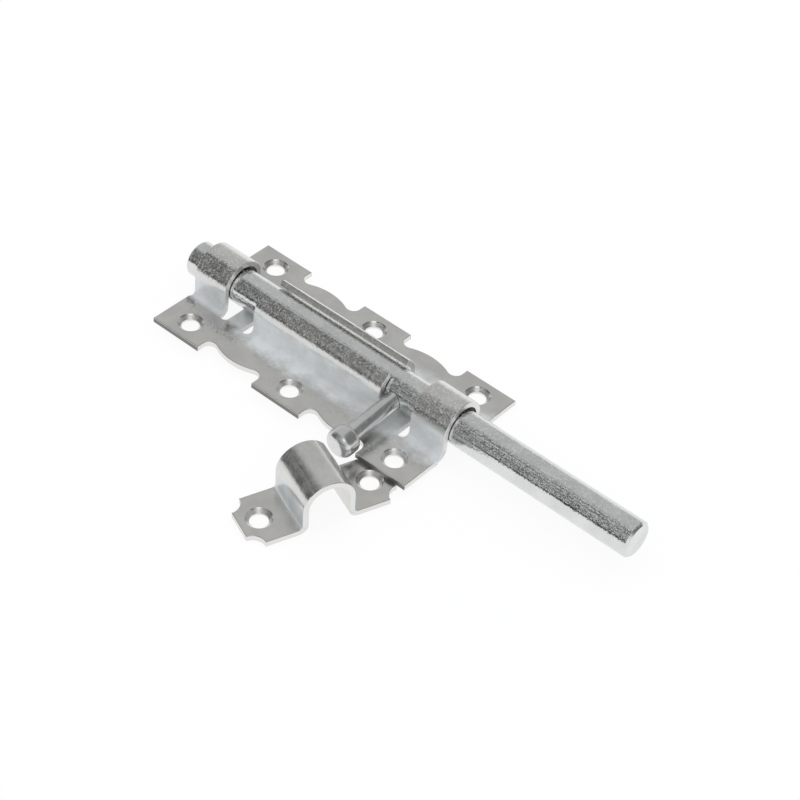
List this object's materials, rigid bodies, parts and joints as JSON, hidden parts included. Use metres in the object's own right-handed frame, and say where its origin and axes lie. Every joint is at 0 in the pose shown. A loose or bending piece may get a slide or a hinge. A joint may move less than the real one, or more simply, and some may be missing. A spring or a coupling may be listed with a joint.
{
  "type": "door bolt",
  "caption": "Sliding door bolt: round bolt with a turned knob handle in a pressed plate with guides and screw holes, and a separate looped keeper.",
  "frame": {"origin": "middle of the plate's back face, between its screw holes", "axes": "+X the way the bolt is thrown, +Z out from the door, away from the plate's back, -Y the side the handle rests on"},
  "size_m": [0.235, 0.1299, 0.0274],
  "materials": {
    "zinc_sheet": "bright zinc plated pressed sheet",
    "zinc_bar": "bright zinc plated drawn bar",
    "zinc_turned": "bright zinc plated, turned"
  },
  "bodies": {
    "plate": {"bolt_plate": "zinc_sheet", "keeper": "zinc_sheet"},
    "bolt": {"bolt_rod": "zinc_bar", "bolt_handle": "zinc_turned"}
  },
  "joints": [
    {"name": "bolt_turn", "type": "hinge", "parent": "plate", "child": "bolt", "pos_m": [0.0395, -0.0004, 0.0108], "axis": [-1, 0, 0], "range_deg": [0, 190]}
  ]
}
